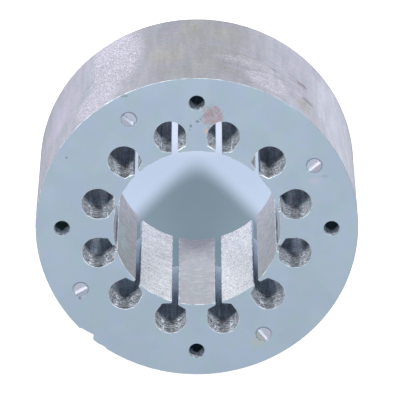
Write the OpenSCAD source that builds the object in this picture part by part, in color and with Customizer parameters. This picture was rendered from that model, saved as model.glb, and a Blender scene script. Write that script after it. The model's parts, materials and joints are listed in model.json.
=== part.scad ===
// Laminated stator core of a small electric motor.
// A stack of stamped sheets with a round rotor bore, twelve round winding
// slots that open into the bore, four bolt holes near the rim, and between
// them four tie pins that keep the stack together. Each end of a pin is
// flush, split by a chisel mark and spread into a countersink.
// The origin is the centre of the back end face, on which the core stands,
// and the rotor axis is +Z.

/* [Stack] */
// Number of stamped sheets in the stack
sheet_count = 55; // [4:1:56]
// Thickness of one sheet with its coating
sheet_t = 0.65; // [0.35:0.05:1.00]

/* [Outline] */
// Outer diameter of the core
outer_d = 70; // [68:0.5:100]
// Diameter of the rotor bore, over the tooth tips
bore_d = 36.2; // [20:0.1:38]

/* [Winding slots] */
// Number of winding slots round the bore
slot_count = 12; // [6:1:14]
// Diameter of a round slot
slot_d = 7.0; // [4.5:0.1:7.4]
// Width of a slot over its shoulders, the two corners beside the mouth
shoulder_w = 5.3; // [4.8:0.1:6.0]
// How far the shoulders stand back from the inner side of the slot
shoulder_fall = 0.6; // [0.3:0.05:0.8]
// Thickness of the tooth tips at the mouth, between a slot and the bore
tip_t = 0.6; // [0.3:0.1:1.5]
// Width of the mouth through which a slot opens into the bore
mouth_w = 1.5; // [0.8:0.1:3.0]

/* [Holes near the rim] */
// Number of bolt holes, the first one on the X axis
bolt_count = 4; // [2:1:4]
// Diameter of the bolt holes
hole_d = 3.4; // [2.4:0.1:4.4]
// Distance from the rim to the centres of the bolt holes and tie pins
rim_to_hole = 5.75; // [4.5:0.05:6.0]

/* [Tie pins] */
// Angle of the first tie pin from the X axis
pin_start = 30; // [20:1:70]
// Diameter of the holes for the tie pins
pin_hole_d = 3.0; // [2.0:0.1:3.3]
// Diameter of the countersinks at both end faces
sink_d = 3.4; // [3.4:0.1:4.4]
// Depth of the countersinks
sink_depth = 0.5; // [0.3:0.05:1.0]
// Turn of each pin's chisel mark away from its own radius, one value per pin
mark_turns = [10, 20, 0, 9];
// Play of a pin in its hole, all round
pin_play = 0.02; // [0.01:0.01:0.05]
// Width of a chisel mark at the face of the pin
mark_w = 0.8; // [0.4:0.05:1.2]
// Depth of a chisel mark
mark_depth = 0.5; // [0.2:0.05:1.0]
// Fall of the pin's end from the chisel mark to the edge
end_fall = 0.2; // [0.05:0.05:0.40]

/* [Hidden] */
$fn = 120;
// How far a cutting shape runs past the material
past = 0.1;

stack_l = sheet_count * sheet_t;
outer_r = outer_d / 2;
bore_r = bore_d / 2;
slot_r = slot_d / 2;
hole_r = hole_d / 2;
pin_hole_r = pin_hole_d / 2;
sink_r = sink_d / 2;
slot_step = 360 / slot_count;
bolt_step = 360 / bolt_count;
pin_count = len(mark_turns);
pin_step = 360 / pin_count;
// The slots lie behind the tooth tips, half a step from the first bolt hole
slot_centre_r = bore_r + tip_t + slot_r;
// A shoulder as seen from the centre of its slot, and its distance from there
shoulder = [shoulder_fall - slot_r, shoulder_w / 2];
shoulder_reach = norm(shoulder);
// Bolt holes and tie pins share one circle inside the rim
hole_circle_r = outer_r - rim_to_hole;

sheet_colour = [0.64, 0.71, 0.77];
pin_colour = [0.70, 0.72, 0.76];

function two_digits(i) = str(i < 10 ? "0" : "", i);
function sheet_name(i) = str("lamination_", two_digits(i));
function pin_name(k) = str("tie_pin_", k);

// Puts its children on the hole circle, at an angle from the X axis
module on_hole_circle(angle) {
  rotate(angle)
    translate([hole_circle_r, 0])
      children();
}

// Puts its children at the place of tie pin k, with Y across its chisel marks
module at_pin(k) {
  on_hole_circle(pin_start + (k - 1) * pin_step)
    rotate(mark_turns[k - 1] - 90)
      children();
}

// One winding slot with its mouth, on the X axis. Its sides leave the circle
// on tangents and meet the straight inner side at the shoulders
module slot_outline() {
  touch = atan2(shoulder[1], shoulder[0]) - acos(slot_r / shoulder_reach);
  side = slot_r * [cos(touch), sin(touch)];
  lip = [-slot_r, mouth_w / 2];
  translate([slot_centre_r, 0]) {
    circle(r = slot_r);
    polygon([
      side, shoulder, lip,
      [lip[0], -lip[1]], [shoulder[0], -shoulder[1]], [side[0], -side[1]]
    ]);
  }
  translate([0, -mouth_w / 2])
    square([slot_centre_r, mouth_w]);
}

// Stamped outline that all the sheets share
module sheet_outline() {
  difference() {
    circle(r = outer_r);
    circle(r = bore_r);
    for (k = [0 : slot_count - 1])
      rotate((k + 0.5) * slot_step)
        slot_outline();
    for (k = [0 : bolt_count - 1])
      on_hole_circle(k * bolt_step)
        circle(r = hole_r);
    for (k = [1 : pin_count])
      at_pin(k)
        circle(r = pin_hole_r);
  }
}

// The countersinks of one pin hole, in both end faces
module sinks() {
  wide_r = sink_r + (sink_r - pin_hole_r) * past / sink_depth;
  translate([0, 0, -past])
    cylinder(r1 = wide_r, r2 = pin_hole_r, h = sink_depth + past);
  translate([0, 0, stack_l - sink_depth])
    cylinder(r1 = pin_hole_r, r2 = wide_r, h = sink_depth + past);
}

// Sheet i of the stack, counted from the back
module lamination(i) {
  low = (i - 1) * sheet_t;
  near_end = low < sink_depth || low + sheet_t > stack_l - sink_depth;
  color(sheet_colour)
    difference() {
      translate([0, 0, low])
        linear_extrude(sheet_t)
          sheet_outline();
      if (near_end)
        for (k = [1 : pin_count])
          at_pin(k)
            sinks();
    }
}

// Round form of a pin, with a cone at each end that fills its countersink
module pin_blank() {
  shank_r = pin_hole_r - pin_play;
  end_r = sink_r - pin_play;
  rotate_extrude()
    polygon([
      [0, 0], [end_r, 0], [shank_r, sink_depth],
      [shank_r, stack_l - sink_depth], [end_r, stack_l], [0, stack_l]
    ]);
}

// Side view of a pin, across its chisel marks: two slopes fall away from
// the mark at each end, and the mark is a narrow V
module pin_section() {
  half_l = stack_l / 2;
  lip = mark_w / 2;
  reach = sink_r + past;
  low = half_l - end_fall * (reach - lip) / (sink_r - lip);
  polygon([
    [-reach, -low], [-lip, -half_l], [0, mark_depth - half_l], [lip, -half_l], [reach, -low],
    [reach, low], [lip, half_l], [0, half_l - mark_depth], [-lip, half_l], [-reach, low]
  ]);
}

// Tie pin k, counted from the first one: flush with both end faces
module tie_pin(k) {
  color(pin_colour)
    at_pin(k)
      intersection() {
        pin_blank();
        translate([0, 0, stack_l / 2])
          rotate([90, 0, 0])
            translate([0, 0, -sink_r - past])
              linear_extrude(2 * (sink_r + past))
                pin_section();
      }
}

for (i = [1 : sheet_count])
  lamination(i);
for (k = [1 : pin_count])
  tie_pin(k);
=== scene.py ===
"""Looks of a bare laminated motor stator: stamped sheets held together by four staked tie pins."""
import json
import math
import random

import bpy
from mathutils import Matrix, Vector


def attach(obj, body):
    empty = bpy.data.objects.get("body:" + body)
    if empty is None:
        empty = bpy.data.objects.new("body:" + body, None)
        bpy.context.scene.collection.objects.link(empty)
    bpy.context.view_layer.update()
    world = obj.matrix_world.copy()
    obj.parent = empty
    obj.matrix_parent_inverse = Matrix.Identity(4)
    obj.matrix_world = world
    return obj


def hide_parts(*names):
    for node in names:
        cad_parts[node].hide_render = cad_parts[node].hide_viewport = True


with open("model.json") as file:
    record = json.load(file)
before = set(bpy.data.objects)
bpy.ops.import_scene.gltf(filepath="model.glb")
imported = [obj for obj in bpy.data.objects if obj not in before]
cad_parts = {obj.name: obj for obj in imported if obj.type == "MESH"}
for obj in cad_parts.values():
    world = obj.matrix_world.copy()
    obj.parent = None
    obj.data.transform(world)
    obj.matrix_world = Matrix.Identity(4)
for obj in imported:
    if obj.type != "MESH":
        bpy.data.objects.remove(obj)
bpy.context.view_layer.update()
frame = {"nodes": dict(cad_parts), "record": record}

MM = 0.001

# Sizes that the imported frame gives
MOUNTS = {m["name"]: m for m in frame["record"]["mounts"]}
BORE_R = MOUNTS["rotor_bore"]["dims"]["r_mm"] * MM
RIM_R = MOUNTS["housing_seat"]["dims"]["r_mm"] * MM
HOLE_R = MOUNTS["through_bolts"]["dims"]["hole_r_mm"] * MM
HOLE_CIRCLE_R = MOUNTS["through_bolts"]["dims"]["pcd_mm"] * MM / 2
STACK_L = MOUNTS["rotor_bore"]["dims"]["length_mm"] * MM
SHEETS = sorted(n for n in frame["nodes"] if n.startswith("lamination_"))
PINS = sorted(n for n in frame["nodes"] if n.startswith("tie_pin_"))
SHEET_T = STACK_L / len(SHEETS)

# Winding slots and bolt holes, as in the part's source
SLOT_COUNT = 12
SLOT_STEP = 360 / SLOT_COUNT
FIRST_SLOT = SLOT_STEP / 2
SLOT_R = 3.5 * MM
SHOULDER_W = 5.3 * MM
SHOULDER_FALL = 0.6 * MM
TIP_T = 0.6 * MM
MOUTH_W = 1.5 * MM
SLOT_CENTRE_R = BORE_R + TIP_T + SLOT_R
BOLT_COUNT = 4

# Tie pins, as in the part's source
PIN_START = 30
MARK_TURNS = [10, 20, 0, 9]
PIN_COUNT = len(MARK_TURNS)
PIN_HOLE_R = 1.5 * MM
PIN_PLAY = 0.02 * MM
SINK_R = 1.7 * MM
SINK_DEPTH = 0.5 * MM
MARK_W = 0.8 * MM
MARK_DEPTH = 0.5 * MM
END_FALL = 0.2 * MM

# Softness of the stamped, turned and staked edges
EDGE_ROLL = 0.045 * MM
FACE_ROLL = 0.10 * MM
MOUTH_ROLL = 0.12 * MM
PIN_ROLL = 0.06 * MM
# In degrees: an edge that turns by more than this is rolled, and one that turns by less looks smooth
SHEET_ROLLED_FROM = 50
PIN_ROLLED_FROM = 25
SHEET_SMOOTH_TO = 15
PIN_SMOOTH_TO = 20

# How far punches run past a sheet, how much wider and taller the countersinks are cut than the pins
# fill them, and how close together stray points are merged
CUT_PAST = 1.0 * MM
SINK_WIDER = 0.02 * MM
SINK_TALLER = 1.001
WELD_REACH = 0.012 * MM
# How far off something may lie and still be taken as touching, or as being near
TOUCHING = 0.01 * MM
NEAR = 0.05 * MM

# Number of sides of the round shapes
RIM_SIDES = 240
BORE_SIDES = 180
SLOT_SIDES = 44
HOLE_SIDES = 28
PIN_SIDES = 36

# Two dents in the front edge of the rim: place of the deepest point, size of the
# six-sided corner that made it, and how the corner was turned
DENTS = [
    {"deepest": (-23.77, -24.13), "corner": 3.2, "turn": 239},
    {"deepest": (-20.37, -27.92), "corner": 1.6, "turn": 234},
]
DENT_LEAN = 25
DENTED_SHEETS = 5

# Scatter from sheet to sheet: growth as a share, turn in degrees, and shift
GROW_SCATTER = 0.0002
TURN_SCATTER = 0.05
SHIFT_SCATTER = 0.006 * MM

# Camera: its place and lens come from a fit of the hole edges and the outline
CAMERA_TILT = 23.0
CAMERA_DISTANCE = 28.59 * RIM_R
CAMERA_RIGHT = 0.0199 * RIM_R
CAMERA_UP = 0.1757 * RIM_R
FOCAL_PIXELS = 4614
FRAME_PIXELS = 400
SENSOR_MM = 36.0


def select_only(*objects):
    """Leaves just these objects selected, the first one active."""
    bpy.ops.object.select_all(action="DESELECT")
    for o in objects:
        o.select_set(True)
    bpy.context.view_layer.objects.active = objects[0]


def apply_place():
    """Puts the active object's place, turn and size into its mesh."""
    bpy.ops.object.transform_apply(location=True, rotation=True, scale=True)


def add_cylinder(name, radius, depth, centre, sides):
    """A closed cylinder along Z."""
    bpy.ops.mesh.primitive_cylinder_add(vertices=sides, radius=radius, depth=depth, location=centre)
    made = bpy.context.active_object
    made.name = name
    apply_place()
    return made


def add_box(name, size, centre, tilt=(0, 0, 0)):
    """A box of the given size, turned by the given angles."""
    bpy.ops.mesh.primitive_cube_add(size=1.0, location=centre, rotation=tilt)
    made = bpy.context.active_object
    made.name = name
    made.scale = size
    apply_place()
    return made


def copy_of(master, name):
    """A copy with its own mesh, selected and active."""
    select_only(master)
    bpy.ops.object.duplicate(linked=False)
    made = bpy.context.active_object
    made.name = name
    return made


def join(objects):
    """Joins objects that don't touch each other into the first one."""
    select_only(*objects)
    bpy.ops.object.join()
    return objects[0]


def cut(body, tool):
    """Takes the tool's shape out of the body and deletes the tool."""
    select_only(body)
    bpy.ops.object.modifier_add(type="BOOLEAN")
    boolean = body.modifiers[-1]
    boolean.operation = "DIFFERENCE"
    boolean.solver = "EXACT"
    boolean.object = tool
    bpy.ops.object.modifier_apply(modifier=boolean.name)
    bpy.data.objects.remove(tool)


def pick(piece, kind, wanted):
    """Opens the piece in edit mode with just the wanted faces or edges selected."""
    select_only(piece)
    bpy.ops.object.mode_set(mode="EDIT")
    bpy.ops.mesh.select_mode(type=kind)
    bpy.ops.mesh.select_all(action="DESELECT")
    bpy.ops.object.mode_set(mode="OBJECT")
    for part in piece.data.polygons if kind == "FACE" else piece.data.edges:
        part.select = wanted(part)
    bpy.ops.object.mode_set(mode="EDIT")


def draw_out(piece, wanted, along, widen, centre):
    """Extrudes the wanted faces and then scales them about a centre."""
    pick(piece, "FACE", wanted)
    bpy.ops.mesh.extrude_region_move(TRANSFORM_OT_translate={"value": along})
    bpy.ops.transform.resize(value=widen, center_override=centre)
    bpy.ops.object.mode_set(mode="OBJECT")


def roll_picked_edges(width, segments):
    """Rounds the picked edges and leaves edit mode."""
    bpy.ops.mesh.bevel(offset=width, segments=segments, affect="EDGES")
    bpy.ops.object.mode_set(mode="OBJECT")


def roll_sharp_edges(piece, width, limit):
    """Takes the sharpness off every edge that turns by more than the limit."""
    select_only(piece)
    bpy.ops.object.modifier_add(type="BEVEL")
    bevel = piece.modifiers[-1]
    bevel.width = width
    bevel.segments = 1
    bevel.limit_method = "ANGLE"
    bevel.angle_limit = math.radians(limit)
    bevel.use_clamp_overlap = False
    bpy.ops.object.modifier_apply(modifier=bevel.name)


def smooth(piece, limit):
    """Shades the piece smooth over edges that turn by less than the limit."""
    select_only(piece)
    bpy.ops.object.shade_smooth_by_angle(angle=math.radians(limit))


def give_finishes(piece, surfaces, finishes):
    """Hangs the finishes of the named surfaces on the piece, in their order."""
    piece.data.materials.clear()
    for name in surfaces:
        piece.data.materials.append(finishes[name])


def around(count, start, radius):
    """Angles and centres of count equal places round the axis."""
    for k in range(count):
        angle = math.radians(start + k * 360 / count)
        yield angle, radius * math.cos(angle), radius * math.sin(angle)


def punch_round_holes(sheet):
    """Cuts the round part of the winding slots, the bolt holes and the pin holes."""
    kinds = [
        (SLOT_COUNT, FIRST_SLOT, SLOT_CENTRE_R, SLOT_R, SLOT_SIDES),
        (BOLT_COUNT, 0, HOLE_CIRCLE_R, HOLE_R, HOLE_SIDES),
        (PIN_COUNT, PIN_START, HOLE_CIRCLE_R, PIN_HOLE_R, HOLE_SIDES),
    ]
    depth = SHEET_T + 2 * CUT_PAST
    punches = []
    for count, start, circle_r, radius, sides in kinds:
        for _, x, y in around(count, start, circle_r):
            punches.append(add_cylinder("round_punch", radius, depth, (x, y, SHEET_T / 2), sides))
    cut(sheet, join(punches))


def add_mouth_punch(angle):
    """A bar through one slot's mouth, drawn out to the two shoulders and back to the slot's sides."""
    reach = math.hypot(SLOT_R - SHOULDER_FALL, SHOULDER_W / 2)
    touch = math.atan2(SHOULDER_W / 2, SHOULDER_FALL - SLOT_R) - math.acos(SLOT_R / reach)
    start_x = BORE_R - CUT_PAST
    lip_x = SLOT_CENTRE_R - SLOT_R
    shoulder_x = lip_x + SHOULDER_FALL
    side_x = SLOT_CENTRE_R + SLOT_R * math.cos(touch)
    side_w = 2 * SLOT_R * math.sin(touch)
    size = (lip_x - start_x, MOUTH_W, SHEET_T + 2 * CUT_PAST)
    bar = add_box("mouth_punch", size, ((lip_x + start_x) / 2, 0, SHEET_T / 2))

    def outer_end(face):
        return face.normal.x > 0.99

    draw_out(bar, outer_end, (SHOULDER_FALL, 0, 0), (1, SHOULDER_W / MOUTH_W, 1), (shoulder_x, 0, 0))
    draw_out(bar, outer_end, (side_x - shoulder_x, 0, 0), (1, side_w / SHOULDER_W, 1), (side_x, 0, 0))
    select_only(bar)
    bar.rotation_euler = (0, 0, angle)
    apply_place()
    return bar


def punch_mouths(sheet):
    """Cuts the mouths and shoulders through which the slots open into the bore."""
    cut(sheet, join([add_mouth_punch(angle) for angle, _, _ in around(SLOT_COUNT, FIRST_SLOT, 1)]))


def sink_pin_holes(sheet, up):
    """Countersinks the four pin holes from the upper side, or else from the lower side."""
    wide_r = SINK_R + SINK_WIDER
    radii = (PIN_HOLE_R, wide_r) if up else (wide_r, PIN_HOLE_R)
    mid_z = SHEET_T - SINK_DEPTH / 2 if up else SINK_DEPTH / 2
    cones = []
    for _, x, y in around(PIN_COUNT, PIN_START, HOLE_CIRCLE_R):
        bpy.ops.mesh.primitive_cone_add(vertices=HOLE_SIDES, radius1=radii[0], radius2=radii[1],
                                        depth=SINK_DEPTH * SINK_TALLER, location=(x, y, mid_z))
        apply_place()
        cones.append(bpy.context.active_object)
    cut(sheet, join(cones))


def weld(piece):
    """Merges the stray points that a cut leaves close together."""
    select_only(piece)
    bpy.ops.object.mode_set(mode="EDIT")
    bpy.ops.mesh.select_all(action="SELECT")
    bpy.ops.mesh.remove_doubles(threshold=WELD_REACH)
    bpy.ops.object.mode_set(mode="OBJECT")


def roll_mouth_edges(sheet):
    """Rounds the upright edges between each mouth and the bore."""
    def at_mouth(edge):
        a, b = (sheet.data.vertices[k].co for k in edge.vertices)
        upright = math.hypot(a.x - b.x, a.y - b.y) < TOUCHING
        if not upright or abs(math.hypot(a.x, a.y) - BORE_R) > NEAR:
            return False
        angle = math.degrees(math.atan2(a.y, a.x)) % SLOT_STEP - FIRST_SLOT
        return abs(BORE_R * math.radians(angle)) < MOUTH_W / 2 + NEAR

    pick(sheet, "EDGE", at_mouth)
    roll_picked_edges(MOUTH_ROLL, 1)


def roll_face_edges(sheet, z):
    """Rounds every edge round the face at height z, which the stack shows."""
    sides = {}
    for face in sheet.data.polygons:
        flat = abs(face.normal.z) > 0.99 and abs(face.center.z - z) < TOUCHING
        for key in face.edge_keys:
            sides.setdefault(key, []).append(flat)
    outline = {key for key, flats in sides.items() if len(flats) == 2 and flats[0] != flats[1]}
    pick(sheet, "EDGE", lambda edge: edge.key in outline)
    roll_picked_edges(FACE_ROLL, 2)


SURFACES = ["face", "rim", "tip", "scratched_tip", "pitted_tip", "slot", "hole", "edge"]
# Teeth with their own finish, by the angle from the X axis
OTHER_TEETH = {240: "scratched_tip", 300: "pitted_tip"}
# What tells the surfaces of a sheet apart: how much a face looks up or down and how much away from
# the axis, from 0 to 1, and how deep the skin of the rim and the bore is taken
FACE_UP = 0.95
RIM_UP = 0.9
EDGE_UP = 0.2
TIP_OUTWARD = -0.95
MOUTH_EDGE_OUTWARD = (-0.9, -0.4)
RIM_SKIN = 0.04 * MM
BORE_SKIN = 0.02 * MM
HOLE_ZONE_R = HOLE_CIRCLE_R - 1.1 * HOLE_R


def tooth_finish(x, y):
    """Which of the three ground finishes the tooth tip at this place has."""
    tooth = round(math.degrees(math.atan2(y, x)) / SLOT_STEP) * SLOT_STEP % 360
    return OTHER_TEETH.get(tooth, "tip")


def surface_of(face):
    """Which stamped, turned or ground surface of the sheet a face belongs to."""
    c = face.center
    n = face.normal
    r = math.hypot(c.x, c.y)
    up = abs(n.z)
    outward = (n.x * c.x + n.y * c.y) / r
    if up > FACE_UP:
        return "face"
    if r > RIM_R - RIM_SKIN and up < RIM_UP:
        return "rim"
    if up > EDGE_UP:
        return "edge"
    if r < BORE_R + BORE_SKIN and outward < TIP_OUTWARD:
        return tooth_finish(c.x, c.y)
    if r < BORE_R + MOUTH_ROLL and MOUTH_EDGE_OUTWARD[0] < outward < MOUTH_EDGE_OUTWARD[1]:
        return "edge"
    return "hole" if r > HOLE_ZONE_R else "slot"


def paint_sheet(sheet):
    """Gives every face of the sheet the finish of its surface."""
    for face in sheet.data.polygons:
        face.material_index = SURFACES.index(surface_of(face))
    smooth(sheet, SHEET_SMOOTH_TO)


def make_sheet(finishes, shown=""):
    """A stamped sheet with its back at Z 0; its front or back may be the one that the stack shows."""
    sheet = add_cylinder("sheet_master", RIM_R, SHEET_T, (0, 0, SHEET_T / 2), RIM_SIDES)
    cut(sheet, add_cylinder("bore_punch", BORE_R, SHEET_T + 2 * CUT_PAST, (0, 0, SHEET_T / 2), BORE_SIDES))
    punch_round_holes(sheet)
    punch_mouths(sheet)
    if shown:
        sink_pin_holes(sheet, shown == "front")
    weld(sheet)
    roll_mouth_edges(sheet)
    if shown:
        roll_face_edges(sheet, SHEET_T if shown == "front" else 0)
    roll_sharp_edges(sheet, EDGE_ROLL, SHEET_ROLLED_FROM)
    give_finishes(sheet, SURFACES, finishes)
    paint_sheet(sheet)
    return sheet


def dent_rim(sheet):
    """Cuts the two dents, which grow shallower with depth, into one sheet at its place in the stack."""
    lean = Matrix.Rotation(math.radians(DENT_LEAN), 4, "Y")
    for dent in DENTS:
        x, y = (v * MM for v in dent["deepest"])
        corner = dent["corner"] * MM
        tool = add_cylinder("dent_corner", corner, 6 * corner, (corner, 0, 0), 6)
        outward = Matrix.Rotation(math.radians(dent["turn"]), 4, "Z")
        tool.matrix_world = Matrix.Translation((x, y, STACK_L)) @ outward @ lean
        select_only(tool)
        apply_place()
        cut(sheet, tool)
    paint_sheet(sheet)


def stack_sheets(finishes, front_finishes):
    """Copies the sheets into their stack, each a hair out of line with the next."""
    draw = random.Random(7)

    def scatter(amount):
        return draw.uniform(-1, 1) * amount

    masters = {
        "back": make_sheet(finishes, "back"),
        "middle": make_sheet(finishes),
        "front": make_sheet(front_finishes, "front"),
    }
    for index, node in enumerate(SHEETS):
        kind = {0: "back", len(SHEETS) - 1: "front"}.get(index, "middle")
        sheet = copy_of(masters[kind], "stamped_" + node)
        grow = 1.0 + scatter(GROW_SCATTER)
        sheet.scale = (grow, grow, 1.0)
        sheet.rotation_euler = (0, 0, math.radians(scatter(TURN_SCATTER)))
        sheet.location = (scatter(SHIFT_SCATTER), scatter(SHIFT_SCATTER), index * SHEET_T)
        apply_place()
        if index >= len(SHEETS) - DENTED_SHEETS:
            dent_rim(sheet)
        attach(sheet, "root")
        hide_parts(node)
    for master in masters.values():
        bpy.data.objects.remove(master)


def make_pin_blank():
    """A round pin with a cone at each end that fills its countersink."""
    shank_r = PIN_HOLE_R - PIN_PLAY
    grow = (SINK_R - PIN_PLAY) / shank_r
    pin = add_cylinder("pin_master", shank_r, STACK_L - 2 * SINK_DEPTH, (0, 0, STACK_L / 2), PIN_SIDES)
    draw_out(pin, lambda f: f.normal.z > 0.9, (0, 0, SINK_DEPTH), (grow, grow, 1), (0, 0, STACK_L))
    draw_out(pin, lambda f: f.normal.z < -0.9, (0, 0, -SINK_DEPTH), (grow, grow, 1), (0, 0, 0))
    return pin


def stake_pin(pin):
    """Cuts the two slopes and the chisel mark across each end of a pin, along X."""
    wide = 4 * SINK_R
    lip = MARK_W / 2
    fall = math.atan2(END_FALL, SINK_R - lip)
    for end_z, up in ((STACK_L, 1), (0, -1)):
        for side in (1, -1):
            lean = -side * up * fall
            centre = Vector((0, side * wide / 2, up * wide / 2))
            place = Vector((0, side * lip, end_z)) + Matrix.Rotation(lean, 3, "X") @ centre
            cut(pin, add_box("slope_cutter", (wide, wide, wide), place, (lean, 0, 0)))
        chisel = add_box("chisel", (wide, MM, MM), (0, 0, 0), (math.radians(45), 0, 0))
        corner = MM * math.sqrt(0.5)
        chisel.scale = (1, lip / corner, MARK_DEPTH / corner)
        chisel.location = (0, 0, end_z)
        select_only(chisel)
        apply_place()
        cut(pin, chisel)


PIN_SURFACES = ["pin_shank", "pin_end", "pin_mark"]


def paint_pin(pin):
    """Gives the shank, the two ends and the chisel marks their finishes."""
    for face in pin.data.polygons:
        near_end = min(face.center.z, STACK_L - face.center.z) < SINK_DEPTH
        in_mark = abs(face.center.y) < MARK_W / 2 and abs(face.normal.y) > 0.2
        if near_end and abs(face.normal.z) > 0.3:
            face.material_index = PIN_SURFACES.index("pin_mark" if in_mark else "pin_end")
    smooth(pin, PIN_SMOOTH_TO)


def make_pins(finishes):
    """Models one staked pin and copies it to the four places, each turned as its chisel mark is."""
    master = make_pin_blank()
    stake_pin(master)
    roll_sharp_edges(master, PIN_ROLL, PIN_ROLLED_FROM)
    give_finishes(master, PIN_SURFACES, finishes)
    paint_pin(master)
    places = around(PIN_COUNT, PIN_START, HOLE_CIRCLE_R)
    for node, mark_turn, (angle, x, y) in zip(PINS, MARK_TURNS, places):
        pin = copy_of(master, "staked_" + node)
        pin.rotation_euler = (0, 0, angle + math.radians(mark_turn))
        pin.location = (x, y, 0)
        apply_place()
        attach(pin, "root")
        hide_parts(node)
    bpy.data.objects.remove(master)


def srgb(r, g, b):
    """A colour given as display values from 0 to 255, as the shaders want it."""
    def linear(v):
        return v / 255 / 12.92 if v <= 10 else ((v / 255 + 0.055) / 1.055) ** 2.4
    return (linear(r), linear(g), linear(b), 1.0)


class Graph:
    """Adds nodes to one material or node group. A value is a number, a vector or an output, and a
    colour is an output or display values from 0 to 255."""

    def __init__(self, tree):
        self.tree = tree

    def add(self, kind, **settings):
        made = self.tree.nodes.new(kind)
        for name, value in settings.items():
            setattr(made, name, value)
        return made

    def feed(self, socket, value):
        if isinstance(value, bpy.types.NodeSocket):
            self.tree.links.new(value, socket)
        else:
            socket.default_value = value

    def math(self, operation, *values):
        node = self.add("ShaderNodeMath", operation=operation)
        for socket, value in zip(node.inputs, values):
            self.feed(socket, value)
        return node.outputs[0]

    def times(self, a, b):
        return self.math("MULTIPLY", a, b)

    def vector(self, operation, *values):
        node = self.add("ShaderNodeVectorMath", operation=operation)
        for socket, value in zip(node.inputs, values):
            self.feed(socket, value)
        return node.outputs["Value" if operation == "LENGTH" else "Vector"]

    def split(self, vector):
        """The X, Y and Z of a vector."""
        node = self.add("ShaderNodeSeparateXYZ")
        self.feed(node.inputs[0], vector)
        return node.outputs

    def ramp(self, value, low, high, to_low=0.0, to_high=1.0):
        """Goes softly from one value to another while the given value goes from low to high."""
        node = self.add("ShaderNodeMapRange", interpolation_type="SMOOTHSTEP")
        for socket, v in zip(node.inputs, (value, low, high, to_low, to_high)):
            self.feed(socket, v)
        return node.outputs[0]

    def mix(self, factor, a, b, **settings):
        node = self.add("ShaderNodeMix", data_type="RGBA", **settings)
        self.feed(node.inputs[0], factor)
        for socket, colour in ((node.inputs[6], a), (node.inputs[7], b)):
            self.feed(socket, srgb(*colour) if isinstance(colour, tuple) else colour)
        return node.outputs[2]

    def shade(self, colour, amount):
        """Makes a colour lighter or darker by a factor that varies."""
        grey = self.add("ShaderNodeCombineColor")
        for socket in grey.inputs:
            self.feed(socket, amount)
        return self.mix(1.0, colour, grey.outputs[0], blend_type="MULTIPLY", clamp_result=True)

    def tone(self, colour, pattern, dark, light, low=0.3, high=0.7):
        """Shades a colour from dark to light while a pattern goes from low to high."""
        return self.shade(colour, self.ramp(pattern, low, high, dark, light))

    def noise(self, place, cells, detail=2.0, roughness=0.5):
        """Noise from 0 to 1, with cells as many millimetres long, wide and high as given."""
        node = self.add("ShaderNodeTexNoise")
        self.feed(node.inputs["Vector"], self.vector("DIVIDE", place, cells))
        node.inputs["Scale"].default_value = 1.0
        node.inputs["Detail"].default_value = detail
        node.inputs["Roughness"].default_value = roughness
        return node.outputs["Fac"]

    def bump(self, height, strength, distance, normal=None):
        """Relief as a normal, its distance in millimetres."""
        node = self.add("ShaderNodeBump")
        node.inputs["Strength"].default_value = strength
        node.inputs["Distance"].default_value = distance * MM
        self.feed(node.inputs["Height"], height)
        if normal:
            self.feed(node.inputs["Normal"], normal)
        return node.outputs["Normal"]

    def use(self, group, **values):
        """Places a node group and returns its outputs by name."""
        node = self.add("ShaderNodeGroup", node_tree=group)
        for name, value in values.items():
            self.feed(node.inputs[name], value)
        return node.outputs


class Finish(Graph):
    """A material in the making, with its shader, its place on the part in millimetres and the groups
    that it may use."""

    def __init__(self, name, groups=None):
        self.material = bpy.data.materials.new(name)
        self.material.use_nodes = True
        super().__init__(self.material.node_tree)
        self.groups = groups
        self.shader = self.tree.nodes["Principled BSDF"].inputs
        coordinates = self.add("ShaderNodeTexCoord").outputs["Object"]
        self.place = self.vector("MULTIPLY", coordinates, (1 / MM, 1 / MM, 1 / MM))

    def pattern(self, group, **values):
        """The outputs of one of the groups at this place."""
        return self.use(self.groups[group], Place=self.place, **values)

    def grain(self, cells, detail=2.0, roughness=0.5):
        return self.noise(self.place, cells, detail, roughness)

    def radius(self):
        """Distance from the rotor axis."""
        return self.vector("LENGTH", self.vector("MULTIPLY", self.place, (1, 1, 0)))

    def away(self, centre):
        """Distance from a named place."""
        return self.vector("LENGTH", self.vector("SUBTRACT", self.place, centre))

    def spot(self, centre, reach, ragged):
        """A mask that is 1 within a ragged spot."""
        return self.pattern("spot", Centre=centre, Reach=reach, Ragged=ragged)["Mask"]

    def tint_spot(self, colour, centre, reach, ragged, strength, tint):
        """Tints a colour within a ragged spot."""
        return self.mix(self.times(self.spot(centre, reach, ragged), strength), colour, tint)

    def brush(self, amount):
        """Stretches the gloss across the turning marks."""
        self.shader["Anisotropic"].default_value = amount
        self.shader["Anisotropic Rotation"].default_value = 0.25
        tangent = self.add("ShaderNodeTangent", direction_type="RADIAL", axis="Z")
        self.feed(self.shader["Tangent"], tangent.outputs[0])

    def complete(self, colour, metallic, roughness, normal=None):
        """Feeds the shader and returns the material."""
        self.feed(self.shader["Base Color"], colour)
        self.shader["Metallic"].default_value = metallic
        self.feed(self.shader["Roughness"], roughness)
        if normal:
            self.feed(self.shader["Normal"], normal)
        return self.material


def make_group(name, inputs, outputs):
    """An empty node group with named sockets, its graph, what comes in and where it goes out."""
    tree = bpy.data.node_groups.new(name, "ShaderNodeTree")
    for in_out, sockets in (("INPUT", inputs), ("OUTPUT", outputs)):
        for label, kind in sockets.items():
            tree.interface.new_socket(name=label, in_out=in_out, socket_type="NodeSocket" + kind)
    graph = Graph(tree)
    return tree, graph, graph.add("NodeGroupInput").outputs, graph.add("NodeGroupOutput").inputs


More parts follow.
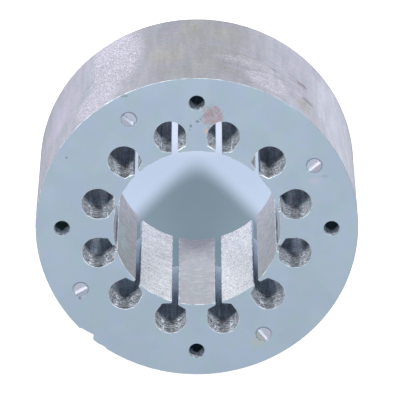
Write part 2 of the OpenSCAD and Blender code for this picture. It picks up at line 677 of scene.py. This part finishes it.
def stack_place_group():
    """Depth below the front face in millimetres, a tone for each sheet, and the place within a sheet."""
    outputs = {"Depth": "Float", "Tone": "Float", "Step": "Float"}
    tree, g, given, made = make_group("stack_place", {"Place": "Vector"}, outputs)
    z = g.split(given["Place"])["Z"]
    g.feed(made["Depth"], g.math("SUBTRACT", STACK_L / MM, z))
    count = g.math("DIVIDE", z, SHEET_T / MM)
    index = g.math("FLOOR", count)
    g.feed(made["Step"], g.math("SUBTRACT", count, index))
    chance = g.add("ShaderNodeTexWhiteNoise", noise_dimensions="1D")
    g.feed(chance.inputs["W"], index)
    g.feed(made["Tone"], chance.outputs["Value"])
    return tree


def spot_group():
    """A mask that is 1 within a ragged spot round a named place."""
    inputs = {"Place": "Vector", "Centre": "Vector", "Reach": "Vector", "Ragged": "Float"}
    tree, g, given, made = make_group("spot", inputs, {"Mask": "Float"})
    away = g.vector("DIVIDE", g.vector("SUBTRACT", given["Place"], given["Centre"]), given["Reach"])
    rough_edge = g.math("SUBTRACT", g.noise(given["Place"], (0.7, 0.7, 0.7), 3.0, 0.6), 0.5)
    distance = g.math("MULTIPLY_ADD", rough_edge, given["Ragged"], g.vector("LENGTH", away))
    g.feed(made["Mask"], g.ramp(distance, 1.1, 0.6))
    return tree


# Patterns of turned and ground steel: size of the cells in millimetres, detail and roughness, and for
# a mask the range of the noise where it sets in
TURNING_PATTERNS = {
    "Marks": ((1.6, 1.6, 0.15), 2.0, 0.6, None),
    "Bands": ((1.6, 1.6, 12), 2.0, 0.5, None),
    "Grain": ((0.3, 0.3, 0.3), 1.0, 0.5, None),
    "Glints": ((0.36, 0.36, 0.2), 2.0, 0.8, (0.52, 0.66)),
    "Scores": ((3.2, 3.2, 0.3), 2.0, 0.7, (0.53, 0.60)),
}


def turning_group():
    """Fine marks round the axis, as a cutting or grinding tool leaves them, streaks along it, a fine
    grain, glints, and coarser scores round the axis."""
    outputs = dict.fromkeys(TURNING_PATTERNS, "Float")
    tree, g, given, made = make_group("turning_marks", {"Place": "Vector"}, outputs)
    for label, (cells, detail, roughness, onset) in TURNING_PATTERNS.items():
        pattern = g.noise(given["Place"], cells, detail, roughness)
        g.feed(made[label], g.ramp(pattern, *onset) if onset else pattern)
    return tree


def blotch_group():
    """Two soft patchy masks that don't follow each other, for the tints of bare or coated steel."""
    outputs = {"Warm": "Float", "Pale": "Float"}
    tree, g, given, made = make_group("blotches", {"Place": "Vector", "Size": "Float"}, outputs)
    cells = g.add("ShaderNodeCombineXYZ")
    for socket in cells.inputs:
        g.feed(socket, given["Size"])
    elsewhere = g.vector("ADD", given["Place"], (71.0, 23.0, 47.0))
    for label, place in (("Warm", given["Place"]), ("Pale", elsewhere)):
        g.feed(made[label], g.ramp(g.noise(place, cells.outputs[0], 2.0, 0.5), 0.4, 0.6))
    return tree


def slot_side_group():
    """How far aside of its own slot's centre a place lies, in millimetres, along X."""
    tree, g, given, made = make_group("slot_side", {"Place": "Vector"}, {"Aside": "Float"})
    x, y, _ = g.split(given["Place"])
    step = math.radians(SLOT_STEP)
    sector = g.math("FLOOR", g.math("DIVIDE", g.math("ARCTAN2", y, x), step))
    middle = g.times(g.math("ADD", sector, 0.5), step)
    centre_x = g.times(g.math("COSINE", middle), SLOT_CENTRE_R / MM)
    g.feed(made["Aside"], g.math("ABSOLUTE", g.math("SUBTRACT", x, centre_x)))
    return tree


def on_front(x, y):
    """A place on the front face, in millimetres."""
    return (x, y, STACK_L / MM)


def on_rim(angle, depth):
    """A place on the rim, in millimetres, by its angle and its depth below the front face."""
    a = math.radians(angle)
    return (RIM_R / MM * math.cos(a), RIM_R / MM * math.sin(a), STACK_L / MM - depth)


COAT_TINTS = ((151, 168, 179), (153, 167, 185))
COAT_PALE = (160, 167, 182)
# What the years left on the front face: place, reach, colour, raggedness and strength of each mark
FACE_STAINS = [
    ((1.9, 22.7), (0.5, 0.8), (196, 164, 140), 1.6, 0.6),
    ((0.1, 25.0), (0.45, 0.3), (104, 114, 126), 1.6, 0.8),
    ((0.8, 25.5), (0.3, 0.25), (110, 118, 130), 1.6, 0.7),
    ((-1.25, 23.9), (0.3, 0.4), (108, 114, 126), 1.6, 0.8),
    ((-1.5, 23.1), (0.2, 0.2), (105, 110, 120), 1.2, 0.7),
    ((-28.05, 16.6), (0.22, 0.22), (90, 100, 110), 0.8, 0.8),
    ((-15.9, 30.9), (1.5, 0.35), (120, 126, 142), 1.6, 0.6),
    ((-25.5, -16.4), (0.35, 0.6), (124, 108, 120), 1.4, 0.8),
    ((27.6, 12.3), (0.9, 0.4), (140, 146, 158), 1.4, 0.5),
    ((13.3, -27.0), (1.5, 1.3), (162, 168, 166), 0.5, 0.8),
    ((25.4, 11.2), (1.6, 0.9), (176, 172, 190), 1.0, 0.5),
]
FACE_STAIN_DEPTH = 4
RUST_CENTRE = (3.4, 26.2)
RUST_REACH = (2.6, 2.7)
RUST_RAGGED = 1.6
RUST_FILM = (162, 144, 148)
RUST_THREADS = (116, 98, 102)
# The line of painted shade round the upper side of each pin, where the countersink's edge is in shade,
# fades out between two radii. A second circle, moved down, clears the lower side
PIN_EDGE_SHADE = (112, 118, 140)
EDGE_SHADE_FADES_OUT = (2.0, 1.85)
EDGE_SHADE_CLEARED = (1.8, 2.1)
EDGE_SHADE_MOVED = 0.35


def add_rust(f, colour):
    """A thin patch of rust beside one slot: a pinkish film with brown threads in it."""
    film = f.spot(on_front(*RUST_CENTRE), (*RUST_REACH, FACE_STAIN_DEPTH), RUST_RAGGED)
    fibres = f.math("ABSOLUTE", f.math("SUBTRACT", f.grain((0.9, 0.6, 0.9), 3.0, 0.7), 0.5))
    threads = f.times(film, f.ramp(fibres, 0.06, 0.0))
    film = f.times(film, f.ramp(f.grain((1.5, 1.5, 1.5), 1.0), 0.35, 0.65, 0.5, 0.9))
    return f.mix(f.times(threads, 0.6), f.mix(film, colour, RUST_FILM), RUST_THREADS)


def add_pin_edge_shade(f, colour):
    """A thin dark line on the coat round the upper side of each pin: painted shade of the countersink's
    edge.
    """
    for _, x, y in around(PIN_COUNT, PIN_START, HOLE_CIRCLE_R / MM):
        outer = f.ramp(f.away(on_front(x, y)), *EDGE_SHADE_FADES_OUT)
        upper = f.ramp(f.away(on_front(x, y - EDGE_SHADE_MOVED)), *EDGE_SHADE_CLEARED)
        colour = f.mix(f.times(f.times(outer, upper), 0.7), colour, PIN_EDGE_SHADE)
    return colour


def coated_face(groups, stained):
    """Satin blue-grey insulating coat of the sheets' faces; only the front one carries the stains and
    the painted shade round the pins.
    """
    f = Finish("stained_front_coat" if stained else "blue_grey_coat", groups)
    tint = f.pattern("blotches", Size=3.4)
    wide = f.pattern("blotches", Size=9.0)
    colour = f.mix(tint["Warm"], *COAT_TINTS)
    colour = f.mix(f.times(tint["Pale"], 0.25), colour, COAT_PALE)
    colour = f.tone(colour, wide["Pale"], 0.98, 1.015, 0.0, 1.0)
    if stained:
        colour = add_rust(f, colour)
        for (x, y), reach, tint_spot, ragged, strength in FACE_STAINS:
            colour = f.tint_spot(colour, on_front(x, y), (*reach, FACE_STAIN_DEPTH), ragged, strength, tint_spot)
        colour = add_pin_edge_shade(f, colour)
    f.shader["Specular IOR Level"].default_value = 0.3
    roughness = f.ramp(tint["Pale"], 0.0, 1.0, 0.46, 0.54)
    return f.complete(colour, 0.0, roughness, f.bump(f.grain((0.3, 0.3, 0.3)), 0.12, 0.02))


RIM_SHADED_TOP_TINTS = ((140, 138, 148), (138, 141, 149))
RIM_LIT_FLANK_TINTS = ((157, 160, 173), (163, 160, 175))
RIM_OLIVE = (140, 140, 138)
RIM_HIGHLIGHT = (166, 160, 175)
RIM_GLINT = (246, 242, 254)
# How far from the middle the painted shade on top of the rim goes over into the painted light on its
# flanks, in millimetres
RIM_LIT_FLANK_FROM_TO = (6.0, 24.0)
# Stains on the rim, and two patches of painted light: angle, depth below the front face, reach round,
# reach down, colour, raggedness
RIM_STAINS_AND_LIT_PATCHES = [
    (92, 31, 2.8, 5.0, (144, 144, 138), 1.1),
    (79, 27, 3.8, 5.5, (144, 145, 140), 1.1),
    (101, 16, 5.0, 7.0, (148, 145, 142), 1.2),
    (48.5, 5.8, 2.4, 3.4, (146, 146, 138), 1.1),
    (49, 17.5, 1.8, 1.2, (104, 92, 98), 1.0),
    (46.5, 10.3, 2.1, 1.3, (100, 88, 94), 1.0),
    (117.5, 19, 0.5, 0.7, (140, 132, 150), 1.2),
    (85, 3, 1.0, 0.9, (140, 142, 150), 1.2),
    # These two lighten the far left and the far right of the rim: painted light, as on its flanks
    (149, 17, 5.0, 9.0, (178, 170, 192), 1.2),
    (26, 18, 12.0, 26.0, (192, 194, 208), 0.5),
]
# Zones of painted highlight full of painted glints, where the lamps shine off the rim: angle, depth,
# reach round, reach down, strength
RIM_HIGHLIGHT_ZONES = [
    (121, 24, 7.5, 20.0, 1.0),
    (128, 6, 7.0, 8.0, 0.9),
    (64, 7, 6.0, 5.5, 0.6),
    (72, 14, 8.0, 3.0, 0.4),
]
# Zones with dark scores round the rim: angle, depth, reach round, reach down, strength
SCORED_ZONES = [
    (64, 11, 14.0, 13.0, 1.0),
    (122, 14, 9.0, 16.0, 1.0),
]
ZONE_RAGGED = 0.7


def rim_zones(f, zones):
    """Masks of the given zones on the rim, with their strength."""
    for angle, depth, reach, down, strength in zones:
        yield f.times(f.spot(on_rim(angle, depth), (reach, reach, down), ZONE_RAGGED), strength)


def rim_colour(f, turning):
    """Grey to lilac steel, painted darker on top as shade and lighter on both sides as light, in soft
    streaks along the axis, with the named stains and patches of painted light.
    """
    tint = f.pattern("blotches", Size=6.0)
    # Painted shade on top of the rim and painted light on its flanks
    lit_flank = f.ramp(f.math("ABSOLUTE", f.split(f.place)["X"]), *RIM_LIT_FLANK_FROM_TO)
    colour = f.mix(tint["Warm"], *RIM_SHADED_TOP_TINTS)
    colour = f.mix(f.times(tint["Pale"], 0.5), colour, RIM_OLIVE)
    colour = f.mix(lit_flank, colour, f.mix(tint["Warm"], *RIM_LIT_FLANK_TINTS))
    for angle, depth, reach, down, tint_spot, ragged in RIM_STAINS_AND_LIT_PATCHES:
        colour = f.tint_spot(colour, on_rim(angle, depth), (reach, reach, down), ragged, 0.6, tint_spot)
    colour = f.tone(colour, turning["Bands"], 0.92, 1.08)
    colour = f.tone(colour, turning["Grain"], 0.94, 1.06)
    return f.tone(colour, turning["Marks"], 0.95, 1.05)


def turned_rim(groups):
    """Bare steel, turned after stacking, with fine lines round it, dark scores, and zones of painted
    highlight full of painted glints."""
    f = Finish("turned_rim_steel", groups)
    turning = f.pattern("turning")
    highlight = 0.0
    for zone in rim_zones(f, RIM_HIGHLIGHT_ZONES):
        highlight = f.math("MAXIMUM", highlight, zone)
    # Painted highlight and painted glints where the lamps shine off the rim
    colour = f.mix(f.times(highlight, 0.55), rim_colour(f, turning), RIM_HIGHLIGHT)
    glint = f.times(f.ramp(highlight, 0.0, 1.0, 0.12, 1.0), turning["Glints"])
    colour = f.mix(glint, colour, RIM_GLINT)
    for zone in rim_zones(f, SCORED_ZONES):
        colour = f.tone(colour, f.times(zone, turning["Scores"]), 1.0, 0.74, 0.0, 1.0)
    f.brush(0.6)
    height = f.math("MULTIPLY_ADD", highlight, turning["Glints"], turning["Marks"])
    return f.complete(colour, 0.5, f.ramp(glint, 0.0, 1.0, 0.5, 0.3), f.bump(height, 0.35, 0.03))


TIP_TINTS = ((242, 243, 248), (247, 240, 250))
TIP_PALE = (236, 246, 247)
TIP_MAUVE = (226, 208, 230)
# Depths between which the far end of the tips turns mauve
TIP_MAUVE_FROM_TO = (26.0, 33.0)
# The plain tips are darkened by painted shade, more on the left, up to this X in millimetres
TIP_PAINTED_SHADE_FROM_TO = (-11.0, -6.0)
TIP_PAINTED_SHADES = (0.40, 0.52)
# Greenish tint on one tip: middle, reach, raggedness, strength and colour
GREEN_TINT = ((-16.6, -7.2, 23.0), (3, 3, 8), 1.2, 0.6, (168, 192, 196))
# Slant of the scratches round X, Y and Z, in degrees
SCRATCH_SLANT = (-28, 10, 0)


def ground_tip(groups, name, pitted=0.0, scratched=0.0):
    """Ground steel of the tooth tips. Pits cover two of the teeth, and slanting scratches cross one.
    The numbers say how deep these are, and a plain tip has neither but is darkened by painted shade."""
    f = Finish(name, groups)
    plain = not pitted and not scratched
    turning = f.pattern("turning")
    tint = f.pattern("blotches", Size=4.0)
    colour = f.mix(tint["Warm"], *TIP_TINTS)
    colour = f.mix(f.times(tint["Pale"], 0.35), colour, TIP_PALE)
    far_end = f.ramp(f.pattern("stack")["Depth"], *TIP_MAUVE_FROM_TO)
    mauve = f.times(far_end, f.ramp(turning["Bands"], 0.3, 0.5))
    colour = f.mix(f.times(mauve, 0.35), colour, TIP_MAUVE)
    marks = 0.015 if plain else 0.045
    colour = f.tone(colour, turning["Marks"], 1 - marks, 1 + marks)
    colour = f.tone(colour, turning["Grain"], 0.96, 1.04)
    height = f.times(turning["Marks"], 0.5)
    if plain:
        # Painted shade on the plain tips, deepest on the left
        colour = f.tone(colour, f.split(f.place)["X"], *TIP_PAINTED_SHADES, *TIP_PAINTED_SHADE_FROM_TO)
        colour = f.tint_spot(colour, *GREEN_TINT)
    if pitted:
        pits = f.grain((0.34, 0.34, 0.34), 1.0, 0.7)
        colour = f.tone(colour, pits, 0.68, 1.32, 0.42, 0.58)
        height = f.math("MULTIPLY_ADD", pits, pitted, height)
    if scratched:
        slanted = f.add("ShaderNodeMapping")
        slanted.inputs["Rotation"].default_value = [math.radians(v) for v in SCRATCH_SLANT]
        f.feed(slanted.inputs["Vector"], f.place)
        lines = f.noise(slanted.outputs[0], (5, 5, 0.3), 3.0, 0.6)
        colour = f.tone(colour, lines, 0.80, 1.12, 0.4, 0.65)
        height = f.math("MULTIPLY_ADD", lines, scratched, height)
    f.brush(0.5)
    return f.complete(colour, 0.05, 0.42, f.bump(height, 0.1 if plain else 0.3, 0.03))


# Walls of the winding slots and of the bolt holes: colours of the sheared land and the torn rest of
# each sheet's edge, depth in millimetres down to which the lamps reach and painted glints show, lightness
# of the wall below that, and the depths between which the wall turns lighter, painted light that stands
# in for the light from the floor, with its colour there. The bolt holes' walls are the same steel as the
# slots' walls, painted darker as shade
SLOT_WALL = {
    "land": (204, 226, 240),
    "torn": (152, 176, 194),
    "glints_to": 6.0,
    "lightness": 1.0,
    "far_light_from_to": (16.0, 25.0),
    "far_light": (234, 242, 250),
}
# Same punched steel as the slots' walls, painted darker as shade
SHADED_HOLE_WALL = {
    "land": (138, 172, 188),
    "torn": (100, 128, 144),
    "glints_to": 0.9,
    "lightness": 0.7,
    "far_light_from_to": (3.5, 6.0),
    "far_light": (160, 214, 220),
}
WALL_MAUVE = (164, 150, 180)
WALL_GLINT = (240, 246, 255)
# Share of a sheet's thickness over which its torn edge goes over into the land
LAND_FROM_TO = (0.2, 0.45)
# The middle of a slot's wall gets painted shade and its two sides painted light, as from the two lamps;
# the sides lie this far aside in millimetres
LAMP_LOBES_FROM_TO = (0.5, 1.7)
LOBE_SHADE_DIMMEST = 0.3
# How far the burrs tip the surface towards the front
BURR_TILT = (0, 0, 1.2)


def punched_wall(groups, name, wall):
    """Punched edges of the sheets: near the front, where the lamps reach, no two alike and full of painted
    glints, with painted shade in the middle of a slot's wall between its two lit sides; deeper in with
    streaks along the stack, and lighter at the far end, as painted light."""
    f = Finish(name, groups)
    stack = f.pattern("stack")
    tint = f.pattern("blotches", Size=3.2)
    grain = f.grain((0.4, 0.4, 0.3), 2.0, 0.7)
    streaks = f.grain((0.6, 0.6, 9.0), 2.0, 0.6)
    # Near the front, where the lamps reach, the wall carries painted glints
    front = f.ramp(stack["Depth"], wall["glints_to"] * 1.5, wall["glints_to"])
    # Painted shade in the middle of a slot's wall, painted light on its two sides
    lamp_lobes = f.ramp(f.pattern("slot_side")["Aside"], *LAMP_LOBES_FROM_TO, LOBE_SHADE_DIMMEST, 1.0)
    glint = f.ramp(f.grain((0.6, 0.6, 0.25), 2.0, 0.75), 0.51, 0.57)
    glint = f.times(glint, f.times(front, lamp_lobes))
    land = f.ramp(stack["Step"], *LAND_FROM_TO)
    colour = f.mix(land, wall["torn"], wall["land"])
    colour = f.mix(f.times(tint["Warm"], 0.6), colour, WALL_MAUVE)
    sheet_tone = f.times(f.ramp(stack["Tone"], 0.0, 1.0, 0.2, 0.55), lamp_lobes)
    streak_tone = f.ramp(streaks, 0.35, 0.65, 0.42 * wall["lightness"], 0.92 * wall["lightness"])
    colour = f.mix(front, f.shade(colour, streak_tone), f.shade(colour, sheet_tone))
    colour = f.tone(colour, grain, 0.65, 1.2, 0.35, 0.65)
    colour = f.mix(f.times(glint, 0.95), colour, WALL_GLINT)
    # Painted light at the far end of the wall
    colour = f.mix(f.ramp(stack["Depth"], *wall["far_light_from_to"]), colour, wall["far_light"])
    height = f.math("MULTIPLY_ADD", grain, 0.7, land)
    normal = f.add("ShaderNodeNewGeometry").outputs["Normal"]
    burrs = f.vector("NORMALIZE", f.vector("ADD", normal, f.vector("MULTIPLY", glint, BURR_TILT)))
    return f.complete(colour, 0.25, f.ramp(glint, 0.0, 1.0, 0.45, 0.25), f.bump(height, 0.4, 0.05, burrs))


# Bare steel of the rolled edges, painted bright, partly as a highlight
EDGE_TINTS = ((196, 204, 216), (250, 250, 255))
RIM_EDGE_SHADE = (130, 142, 154)
HOLE_EDGE_SHADE = (146, 160, 176)
# In millimetres: radii of the rim's edge, X between which painted shade dulls it, and the radii between
# which the edges of the pin and bolt holes lie, where painted shade dulls them too
RIM_EDGE_FROM_TO = (RIM_R / MM - 2, RIM_R / MM - 1)
RIM_EDGE_SHADE_FROM_TO = (4.0, 16.0)
HOLE_EDGES_FROM = (26.4, 26.9)
HOLE_EDGES_TO = (31.6, 32.1)


def rolled_edge(groups):
    """Edges where the tool rolled the coat off and left bare steel, painted bright, partly as a highlight,
    here more and there less, and dulled by painted shade round the small holes and on the right of the
    rim."""
    f = Finish("rolled_edge_and_highlight", groups)
    tint = f.pattern("blotches", Size=1.6)
    radius = f.radius()
    colour = f.mix(tint["Pale"], *EDGE_TINTS)
    rightwards = f.ramp(f.split(f.place)["X"], *RIM_EDGE_SHADE_FROM_TO, 0.0, 0.85)
    colour = f.mix(f.times(f.ramp(radius, *RIM_EDGE_FROM_TO), rightwards), colour, RIM_EDGE_SHADE)
    round_hole = f.times(f.ramp(radius, *HOLE_EDGES_FROM), f.ramp(radius, *HOLE_EDGES_TO, 1.0, 0.0))
    colour = f.mix(f.times(round_hole, 0.75), colour, HOLE_EDGE_SHADE)
    return f.complete(colour, 0.4, f.ramp(tint["Warm"], 0.0, 1.0, 0.22, 0.4))


PIN_SHANK_TINTS = ((150, 154, 162), (162, 162, 172))
PIN_END_TINTS = ((162, 174, 187), (172, 172, 187))
# Bare chisel-cut steel, painted brighter, partly as a highlight
PIN_MARK_TINTS = ((222, 226, 236), (232, 228, 240))
# Residue on the pin ends: place, reach and colour
PIN_STAINS = [
    ((-14.6, 25.3), (2.0, 2.0), (166, 172, 188)),
    ((13.6, -26.3), (1.0, 1.3), (168, 170, 160)),
    ((16.3, -24.4), (1.0, 0.9), (192, 176, 200)),
    ((26.0, 13.8), (1.0, 1.0), (172, 166, 182)),
]
# Painted shade where the chisel mark of the second pin shows no highlight: place, reach and colour
MARK_SHADE_SPOTS = [
    ((-14.6, 25.3), (0.9, 0.9), (176, 186, 200)),
    ((-15.8, 26.3), (1.1, 1.1), (150, 164, 180)),
    ((-13.4, 24.4), (0.5, 0.5), (170, 182, 196)),
]
PIN_SPOT_DEPTH = 3


def pin_steel(groups, name, tints, metallic, roughness, stains=()):
    """Bare steel of the tie pins, with a faint grain and a few stains, which on the chisel marks are
    painted shade.
    """
    f = Finish(name, groups)
    colour = f.mix(f.pattern("blotches", Size=0.9)["Warm"], *tints)
    for (x, y), reach, tint_spot in stains:
        colour = f.tint_spot(colour, on_front(x, y), (*reach, PIN_SPOT_DEPTH), 0.5, 0.7, tint_spot)
    return f.complete(colour, metallic, roughness, f.bump(f.grain((0.4, 0.4, 0.4), 3.0, 0.6), 0.35, 0.05))


def make_finishes():
    """All the finishes by surface, and the same set with the stained coat for the front sheet."""
    groups = {
        "stack": stack_place_group(),
        "spot": spot_group(),
        "turning": turning_group(),
        "blotches": blotch_group(),
        "slot_side": slot_side_group(),
    }
    finishes = {
        "face": coated_face(groups, False),
        "rim": turned_rim(groups),
        "tip": ground_tip(groups, "ground_tip_steel"),
        "scratched_tip": ground_tip(groups, "scratched_tip_steel", pitted=0.4, scratched=1.2),
        "pitted_tip": ground_tip(groups, "pitted_tip_steel", pitted=1.5),
        "slot": punched_wall(groups, "punched_slot_wall", SLOT_WALL),
        "hole": punched_wall(groups, "punched_hole_wall", SHADED_HOLE_WALL),
        "edge": rolled_edge(groups),
        "pin_shank": pin_steel(groups, "pin_shank_steel", PIN_SHANK_TINTS, 0.7, 0.4),
        "pin_end": pin_steel(groups, "pin_end_steel", PIN_END_TINTS, 0.15, 0.45, PIN_STAINS),
        "pin_mark": pin_steel(groups, "chisel_mark_and_highlight", PIN_MARK_TINTS, 0.3, 0.4, MARK_SHADE_SPOTS),
    }
    front = dict(finishes, face=coated_face(groups, True))
    return finishes, front


def put_in_scene(name, data, place, turn):
    """An object at a place, turned by a matrix."""
    made = bpy.data.objects.new(name, data)
    bpy.context.scene.collection.objects.link(made)
    made.matrix_world = Matrix.Translation(place) @ turn.to_4x4()
    return made


def set_camera():
    """Puts the camera where the photo was taken from."""
    tilt = math.radians(CAMERA_TILT)
    back = Vector((0, math.sin(tilt), math.cos(tilt)))
    up = Vector((0, math.cos(tilt), -math.sin(tilt)))
    right = Vector((1, 0, 0))
    target = Vector((0, 0, STACK_L))
    data = bpy.data.cameras.new("photo_camera")
    data.sensor_width = SENSOR_MM
    data.lens = FOCAL_PIXELS / FRAME_PIXELS * SENSOR_MM
    place = target + CAMERA_DISTANCE * back + CAMERA_RIGHT * right + CAMERA_UP * up
    turn = Matrix((right, up, back)).transposed()
    bpy.context.scene.camera = put_in_scene("photo_camera", data, place, turn)


# Soft lamps: direction from the front face, and power in watts
SOFTBOXES = {
    "upper_left_softbox": ((-0.48, 0.48, 0.734), 4.7),
    "upper_right_softbox": ((0.48, 0.48, 0.734), 4.3),
}
SOFTBOX_SIZE = 0.12
SOFTBOX_DISTANCE = 0.8
LAMP_COLOUR = (0.97, 0.99, 1.0)
SKY_COLOUR = (0.88, 0.95, 1.0, 1)
SKY_STRENGTH = 0.2

FLOOR_SIZE = 6.0
FLOOR_DROP = 0.1 * MM
FLOOR_WHITE = (240, 240, 240)
FLOOR_IN_BORE = (60, 68, 72)
# Light of its own that makes the floor show white
FLOOR_GLOW = 0.55
# Light on the floor inside the bore ends at a soft peak. In millimetres, seen from above: where the
# peak's two sides would meet, how blunt it is, how wide the light fades, and where it grows stronger.
# The slope is that of the two sides
BORE_FLOOR_R = 30.0
PEAK_Y = 3.2
PEAK_BLUNT = 3.5
PEAK_FADE = 3.5
PEAK_FAR_FROM_TO = (1.0, 7.0)
PEAK_SLOPE = 1.12
BELOW_PEAK = (119, 137, 150)
ABOVE_PEAK = ((190, 205, 229), (216, 226, 248))
# Colour with which that floor lights the far end of the teeth and slots
BOUNCE = (238, 242, 255)


def add_softbox(name, direction, power):
    """A large square lamp that looks at the middle of the front face."""
    data = bpy.data.lights.new(name, "AREA")
    data.size = SOFTBOX_SIZE
    data.energy = power
    data.color = LAMP_COLOUR
    back = Vector(direction).normalized()
    place = Vector((0, 0, STACK_L)) + back * SOFTBOX_DISTANCE
    put_in_scene(name, data, place, back.to_track_quat("Z", "Y").to_matrix())


def bore_light(f):
    """Light that falls through the bore: dim below the soft peak, and brighter farther above it."""
    x, y, _ = f.split(f.place)
    aside = f.math("MULTIPLY_ADD", x, x, PEAK_BLUNT ** 2)
    raised = f.math("MULTIPLY_ADD", f.math("SQRT", aside), PEAK_SLOPE, y)
    lit = f.ramp(raised, PEAK_Y - PEAK_FADE, PEAK_Y + PEAK_FADE)
    return f.mix(lit, BELOW_PEAK, f.mix(f.ramp(y, *PEAK_FAR_FROM_TO), *ABOVE_PEAK))


def floor_paint():
    """Floor that shows white round the part, and inside the bore the light that falls through it."""
    f = Finish("floor_paint")
    outside = f.ramp(f.radius(), BORE_FLOOR_R, RIM_R / MM)
    rays = f.add("ShaderNodeLightPath").outputs
    mirrored = f.math("MAXIMUM", rays["Is Glossy Ray"], rays["Is Transmission Ray"])
    looked_at = f.math("MAXIMUM", rays["Is Camera Ray"], mirrored)
    inside = f.mix(looked_at, BOUNCE, bore_light(f))
    f.feed(f.shader["Emission Color"], f.mix(outside, inside, f.times(looked_at, FLOOR_GLOW)))
    f.shader["Emission Strength"].default_value = 1.0
    return f.complete(f.mix(outside, FLOOR_IN_BORE, FLOOR_WHITE), 0.0, 0.9)


def set_studio():
    """White floor, an even sky and the two soft lamps."""
    world = bpy.data.worlds.new("studio")
    bpy.context.scene.world = world
    world.use_nodes = True
    sky = world.node_tree.nodes["Background"]
    sky.inputs["Color"].default_value = SKY_COLOUR
    sky.inputs["Strength"].default_value = SKY_STRENGTH
    bpy.ops.mesh.primitive_plane_add(size=FLOOR_SIZE, location=(0, 0, -FLOOR_DROP))
    floor = bpy.context.active_object
    floor.name = "studio_floor"
    apply_place()
    floor.data.materials.append(floor_paint())
    for name, (direction, power) in SOFTBOXES.items():
        add_softbox(name, direction, power)


def main():
    scene = bpy.context.scene
    scene.view_settings.view_transform = "Standard"
    set_camera()
    set_studio()
    finishes, front_finishes = make_finishes()
    stack_sheets(finishes, front_finishes)
    make_pins(finishes)


main()
